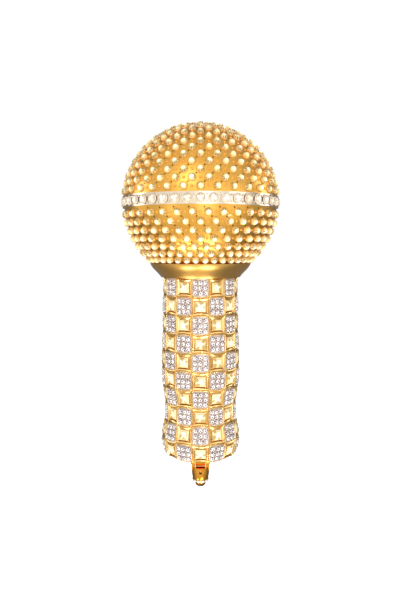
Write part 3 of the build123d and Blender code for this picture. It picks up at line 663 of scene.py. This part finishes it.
def bezel_height(x, y, half_w):
    """Height over the sleeve inside a bezel: a rounded lip, short slopes, and a floor for the
    stone. Below the stone the slope gives way to a narrow undercut."""
    half_h = cell_h / 2
    across = (abs(x) * half_w - window) / (half_w - window)
    upright = (abs(y) * half_h - window) / (half_h - window)
    if y < 0 and upright > across:
        shares, heights = [0, 0.04, 0.45, 0.5, 0.74, 0.88, 1], [-0.3, -0.4, -0.4, 0.5, 0.7, 0.72, 0.5]
    else:
        shares, heights = [0, 0.1, 0.5, 0.8, 0.9, 1], [-0.3, -0.1, 0.3, 0.66, 0.68, 0.5]
    return np.interp(max(across, upright), shares, heights)


def tile_mesh(name, cells, height, lines, bow):
    """One closed patch a cell: a shaped top, four sides and a back in the sleeve's pocket. The
    top's lowest faces take the second material, a dark painted shade for the hollows."""
    verts, faces, lifts, painted_shade_faces, at = [], [], [], [], np.array(lines)
    count = len(at)
    for column, row in cells:
        start = len(verts)
        half_w = half_width(row)
        for level in (0, 1):
            for y in at:
                for x in at:
                    sideways = math.sin(math.pi * x / 2) * math.cos(math.pi * y / 2)
                    endways = math.sin(math.pi * y / 2) * math.cos(math.pi * x / 2)
                    across = x / 2 * (1 - seam * 2) + bow * bulge * sideways
                    upright = y / 2 * (1 - seam * 2) + bow * bulge * endways
                    lift = height(x, y, half_w) if level == 0 else tile_floor
                    place, _, _ = on_grip(column + across, row + 0.5 - upright, lift)
                    verts.append(place)
                    lifts.append(lift)
        back = start + count * count
        for j in range(count - 1):
            for i in range(count - 1):
                a = start + j * count + i
                top = (a, a + 1, a + 1 + count, a + count)
                # Faces wholly below that level are painted dark, as shade in the hollows.
                if max(lifts[corner] for corner in top) < painted_shade_level:
                    painted_shade_faces.append(len(faces))
                faces.append(top)
                b = back + j * count + i
                faces.append((b, b + count, b + 1 + count, b + 1))
        for i in range(count - 1):
            low, high = start + i, start + (count - 1) * count + i
            left, right = start + i * count, start + i * count + count - 1
            deep = count * count
            faces.append((low, low + deep, low + 1 + deep, low + 1))
            faces.append((high, high + 1, high + 1 + deep, high + deep))
            faces.append((left, left + count, left + count + deep, left + deep))
            faces.append((right, right + deep, right + count + deep, right + count))
    made = add_mesh(name, verts, faces)
    for number in painted_shade_faces:
        made.data.polygons[number].material_index = 1
    return made


def mirrored(half):
    """Grid lines from -1 to 1 out of those from 0 up."""
    return [-v for v in reversed(half) if v] + list(half)


# A dark brown gold: painted shade for the deep hollows of the tiles and for the sleeve between them.
recess_shade_gold = plated("recess_shade_gold_plate", "#8F4F14", "#B06E28", 0.3, 0.45, 5 * mm, 0.5 * mm, 0.01 * mm)
bright_gold = plated(
    "bright_gold_plate", "#F0BC66", "#FCDC9C", 0.16, 0.26, 6 * mm, 0.6 * mm, 0.006 * mm, lacquer=0.4
)
cushion_lines = mirrored([0, 0.4, 0.7, 0.82, 0.86, 0.9, 0.94, 0.98, 1])
bezel_lines = mirrored([0, 0.3, 0.5, 0.59, 0.62, 0.66, 0.72, 0.78, 0.8, 0.88, 0.95, 1])
cushions = tile_mesh("cushion_tiles", cell_list(True), cushion_height, cushion_lines, 1)
bezels = tile_mesh("bezel_tiles", cell_list(False), bezel_height, bezel_lines, -1)
for tiles, node_name in ((cushions, "pave_tiles"), (bezels, "square_bezels")):
    tiles.data.materials.append(bright_gold)
    tiles.data.materials.append(recess_shade_gold)
    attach(tiles, "handle")
    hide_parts(node_name)
# The sleeve, seen only in the seams between tiles, wears the same dark painted shade.
dress(recess_shade_gold, "grip_sleeve")

# --- Grip stones -----------------------------------------------------------------------------
# Nine small round crystals fill each cushion, glued into its bed. One square crystal sits at the
# foot of each bezel's slopes, under four corner claws.
pave_seats = []
pave_pitch, bed_share, bed_height, stone_floor = 2.42, 0.88, 0.5, -0.3


def pave_step(row):
    """The pitch across a cushion, in cells, where a narrow row draws it in."""
    width = 2 * half_width(row)
    return min(pave_pitch, width * bed_share / 3) / width


for column, row in cell_list(True):
    for j in (-1, 0, 1):
        for i in (-1, 0, 1):
            across, upright = i * pave_step(row), j * pave_pitch / cell_h
            pave_seats.append(on_grip(column + across, row + 0.5 - upright, bed_height))
# Painted facet light: a dark painted shade at the culet, a white painted highlight round it, dark painted
# shade at the girdle and at the foot, and painted shade wedges.
lilac = crystal(
    "lilac_shade_crystal",
    [(0, "#3A3033"), (0.24, "#62565A"), (0.36, "#FFFFFF"), (0.66, "#FBF6F4"), (0.84, "#C4B6B3"),
     (1.0, "#6E6062"), (1.12, "#D3C7C4"), (1.25, "#5A4C4C")],
    "#5E5154", "#EFE0DA", 5, 0.42, 0.9,
)
pave_gem = round_stone("gem", 1.19 * mm, 0.75 * mm, 0.66 * mm, 0.3 * mm)
pave = set_pieces("pave_gems", pave_seats, pave_gem, lilac, "handle", seed=11)
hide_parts("pave_stones")
plate_height = 0.56
pave_bed = tile_mesh(
    "pave_beds", cell_list(True), lambda x, y, half_w: plate_height, mirrored([0, 0.42, 0.84]), 1
)
satin_rhodium = plated("satin_rhodium_plate", "#BFB0AB", "#D6C9C4", 0.3, 0.42, 4 * mm, 0.3 * mm, 0.006 * mm)
pave_bed.data.materials.append(satin_rhodium)
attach(pave_bed, "handle")
grain_seats = []
for column, row in cell_list(True):
    for j in (-1.5, -0.5, 0.5, 1.5):
        for i in (-1.5, -0.5, 0.5, 1.5):
            reach = 0.86 if abs(i) == abs(j) == 1.5 else 0.95
            across, upright = i * pave_step(row) * reach, j * pave_pitch / cell_h * reach
            grain_seats.append(on_grip(column + across, row + 0.5 - upright, bed_height))
grain_outline = [(0.38 * mm, 0), (0.36 * mm, 0.4 * mm), (0.24 * mm, 0.62 * mm), (0.08 * mm, 0.7 * mm)]
grain = turned_piece("grain", grain_outline, 6)
set_pieces("pave_grains", grain_seats, grain, rhodium, "handle")


def square_stone(name, side, height, table, girdle):
    """A princess-cut crown in flat facets."""
    half, inner = side / 2, table / 2
    ring = [(-1, -1), (0, -1), (1, -1), (1, 0), (1, 1), (0, 1), (-1, 1), (-1, 0)]
    verts = [(x * half, y * half, z) for z in (0.0, girdle) for x, y in ring]
    verts += [(x * inner, y * inner, height) for x, y in ((0, -1), (1, 0), (0, 1), (-1, 0))]
    tip_at, tip_height = inner * 0.8, height * 0.97
    verts += [(x * tip_at, y * tip_at, tip_height) for x, y in ((1, -1), (1, 1), (-1, 1), (-1, -1))]
    faces = [(n, (n + 1) % 8, 8 + (n + 1) % 8, 8 + n) for n in range(8)]
    for n in range(4):
        side_mid, corner, next_mid = 9 + 2 * n, 8 + (2 * n + 2) % 8, 8 + (2 * n + 3) % 8
        here, there, tip = 16 + n, 16 + (n + 1) % 4, 20 + n
        faces += [(side_mid, corner, tip), (side_mid, tip, here)]
        faces += [(corner, next_mid, tip), (next_mid, there, tip)]
    faces += [(16, 20, 17, 21, 18, 22, 19, 23), tuple(reversed(range(8)))]
    made = add_mesh(name, verts, faces)
    view_down = made.data.uv_layers.new(name="UVMap")
    for loop in made.data.loops:
        x, y, _ = made.data.vertices[loop.vertex_index].co
        view_down.data[loop.index].uv = (x / half, y / half)
    return made


square_seats = [on_grip(column, row + 0.5, stone_floor) for column, row in cell_list(False)]
# Painted facet light: white painted highlights between darker painted shade rings, a dark painted shade round
# the edge, and painted shade wedges.
citrine = crystal(
    "pale_citrine_crystal",
    [(0, "#DCCB9A"), (0.18, "#FBF4DC"), (0.42, "#FFFBEE"), (0.58, "#D6BC7C"), (0.74, "#F4E9C6"),
     (0.92, "#D8BE7E"), (1.0, "#8F6A2E")],
    "#BBA062", "#F2E6C8", 4, 0.3, 0.9, square=True,
)
square_gem = square_stone("gem", 5.1 * mm, 1.05 * mm, 3.2 * mm, 0.35 * mm)
squares = set_pieces("square_gems", square_seats, square_gem, citrine, "handle", seed=13)
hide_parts("square_stones")
claw_reach = 2.42
corner_seats = []
for column, row in cell_list(False):
    for x in (-1, 1):
        for y in (-1, 1):
            across, upright = x * claw_reach / (2 * half_width(row)), y * claw_reach / cell_h
            corner_seats.append(on_grip(column + across, row + 0.5 + upright, stone_floor))
corner_outline = [(0.36 * mm, 0), (0.34 * mm, 0.6 * mm), (0.25 * mm, 0.8 * mm), (0.1 * mm, 0.88 * mm)]
corner_claw = turned_piece("claw", corner_outline, 6)
set_pieces("corner_claws", corner_seats, corner_claw, bright_gold, "handle")

# --- Tail drop -------------------------------------------------------------------------------
# A cast and mirror-polished drop swings on a pin through the tail lug. A ring of small clear
# stones and one tip stone are set in it.
drop_gold = plated("drop_gold_plate", "#C77E22", "#F0B44E", 0.1, 0.2, 4 * mm, 0.8 * mm, 0.01 * mm)
dress(drop_gold, "drop_body", "tail_lug", "hinge_pin")
drop_low, drop_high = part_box("drop_stones")
ring_z = (drop_low.z + drop_high.z) / 2
ring_r, ring_count, ring_tilt = 3.62 * mm, 12, -0.33
ring_seats = []
for n in range(ring_count):
    flat_out, along = heading_at(2 * math.pi * (n + 0.5) / ring_count)
    out = (flat_out + Vector((0, 0, ring_tilt))).normalized()
    ring_seats.append((flat_out * ring_r + Vector((0, 0, ring_z)), out, along))
ring_gem = round_stone("gem", 0.88 * mm, 0.55 * mm, 0.5 * mm, 0.25 * mm)
# The ring stones wear the clear crystal, with its painted highlight and painted shade.
ring = set_pieces("drop_ring_stones", ring_seats, ring_gem, clear, "drop", seed=17)
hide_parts("drop_stones")
# The tip stone wears the champagne crystal, with its painted highlight and painted shade.
dress(champagne, "drop_tip_stone")

# --- Rear controls ---------------------------------------------------------------------------
# A gold-plated plate carries a moulded slide switch, a clear light pipe and the nickel-plated
# charging socket, held by two small screws.
nickel = plated("nickel_plated_steel", "#A9A7A3", "#C6C4C0", 0.22, 0.35, 4 * mm, 0.3 * mm, 0.006 * mm)
dress(nickel, "charging_socket", "control_screws", "tail_screws", "battery_contacts", "body_tube")
black_moulding = plated(
    "moulded_black_abs", "#101113", "#1B1C1F", 0.4, 0.55, 3 * mm, 0.25 * mm, 0.015 * mm, metallic=0.0
)
dress(
    black_moulding,
    "power_slider", "switch_body", "chassis", "capsule_plug", "socket_spacer", "board_links", "board_chips",
)
clear_acrylic = plated(
    "polished_acrylic", "#DCE9EA", "#EEF6F6", 0.06, 0.12, 3 * mm, 0.5 * mm, 0.002 * mm, metallic=0.0
)
clear_acrylic.node_tree.nodes["Principled BSDF"].inputs["Transmission Weight"].default_value = 0.6
dress(clear_acrylic, "status_lens", "status_led")

# --- Inside ----------------------------------------------------------------------------------
# What the grip and the ball hold: a foam liner, the capsule on its stem, two boards, the radio
# can and one cell in a shrink sleeve.
solder_mask = plated(
    "solder_mask", "#0F3B22", "#17512F", 0.3, 0.45, 3 * mm, 0.3 * mm, 0.01 * mm, metallic=0.0
)
dress(solder_mask, "main_board", "control_board")
satin_can = plated("satin_aluminium", "#A5A7A9", "#C4C6C8", 0.3, 0.42, 4 * mm, 0.3 * mm, 0.008 * mm)
dress(satin_can, "radio_module", "capsule", "capsule_stem", "capsule_leads")
open_foam = plated(
    "open_cell_foam", "#1B1612", "#3A3028", 0.85, 0.95, 1.2 * mm, 0.8 * mm, 0.3 * mm, metallic=0.0
)
dress(open_foam, "foam_liner")
shrink_film = plated(
    "blue_shrink_film", "#16407A", "#1E5296", 0.2, 0.3, 8 * mm, 2 * mm, 0.02 * mm, metallic=0.0
)
dress(shrink_film, "battery_cell")
